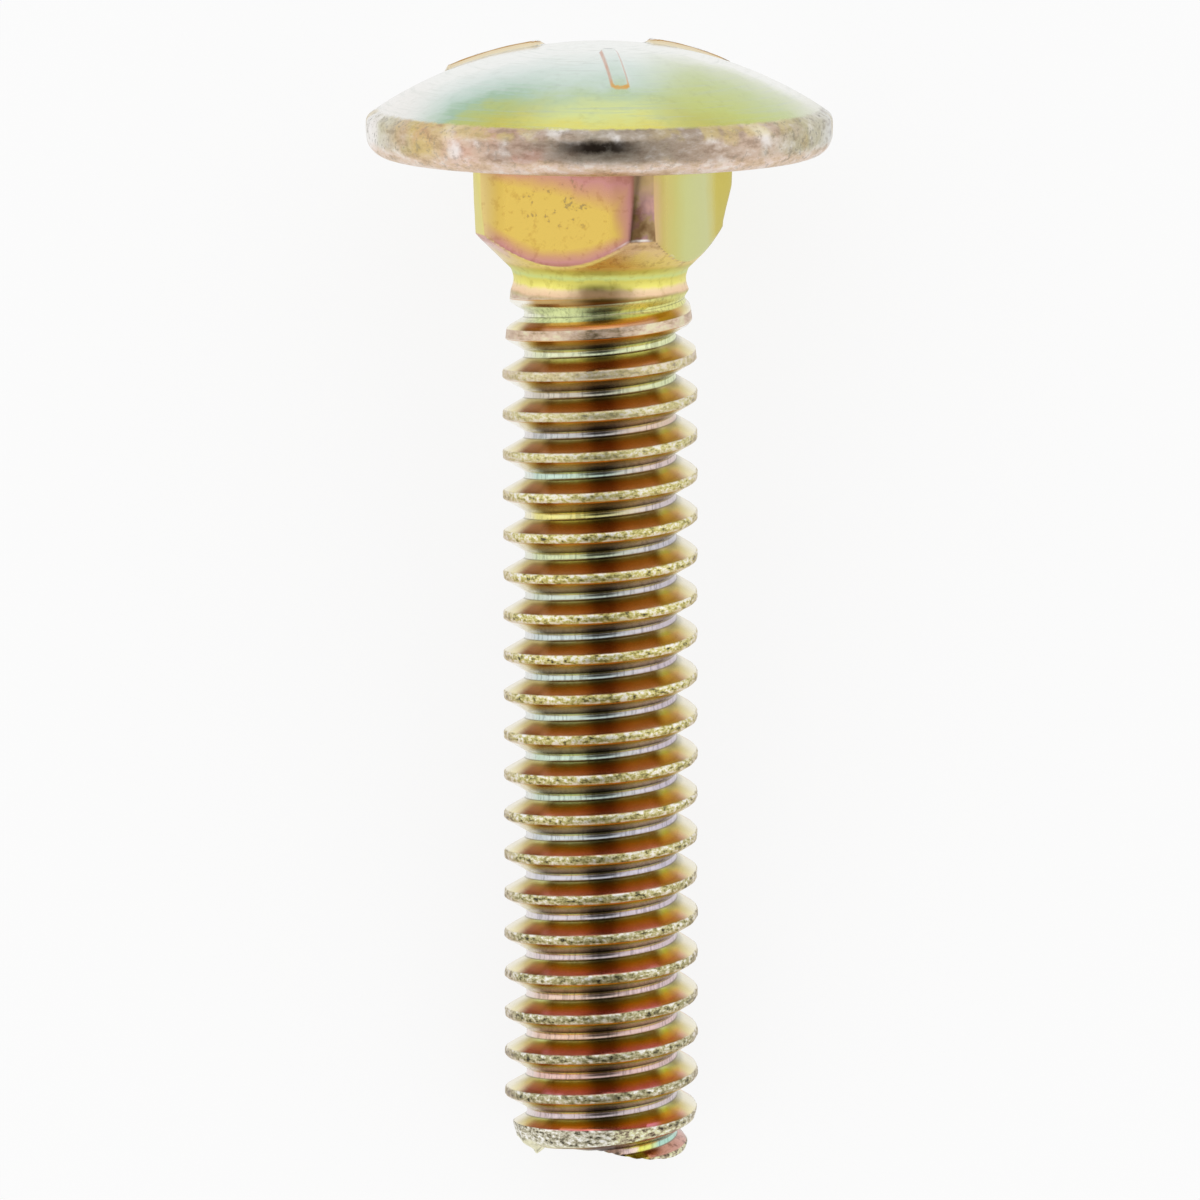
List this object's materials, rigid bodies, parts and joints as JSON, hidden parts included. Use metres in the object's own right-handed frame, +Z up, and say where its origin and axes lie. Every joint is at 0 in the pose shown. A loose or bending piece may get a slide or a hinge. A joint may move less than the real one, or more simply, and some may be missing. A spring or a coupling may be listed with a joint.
{
  "type": "carriage bolt",
  "caption": "Carriage bolt with a low domed head, a square neck and a fully threaded shank, lying on its side.",
  "frame": {"origin": "on the surface that the bolt lies on, under the middle of its bounding box", "axes": "+Z up, +Y along the bolt towards its head, which is raised by the tilt at which the rim and the last crests touch the surface, +X to the right of the side that faces up"},
  "size_m": [0.0146, 0.0353, 0.0145],
  "materials": {
    "yellow_zinc": "yellow-passivated zinc plate, thin and iridescent, over plain steel"
  },
  "bodies": {
    "root": {"carriage_bolt": "yellow_zinc"}
  },
  "joints": []
}
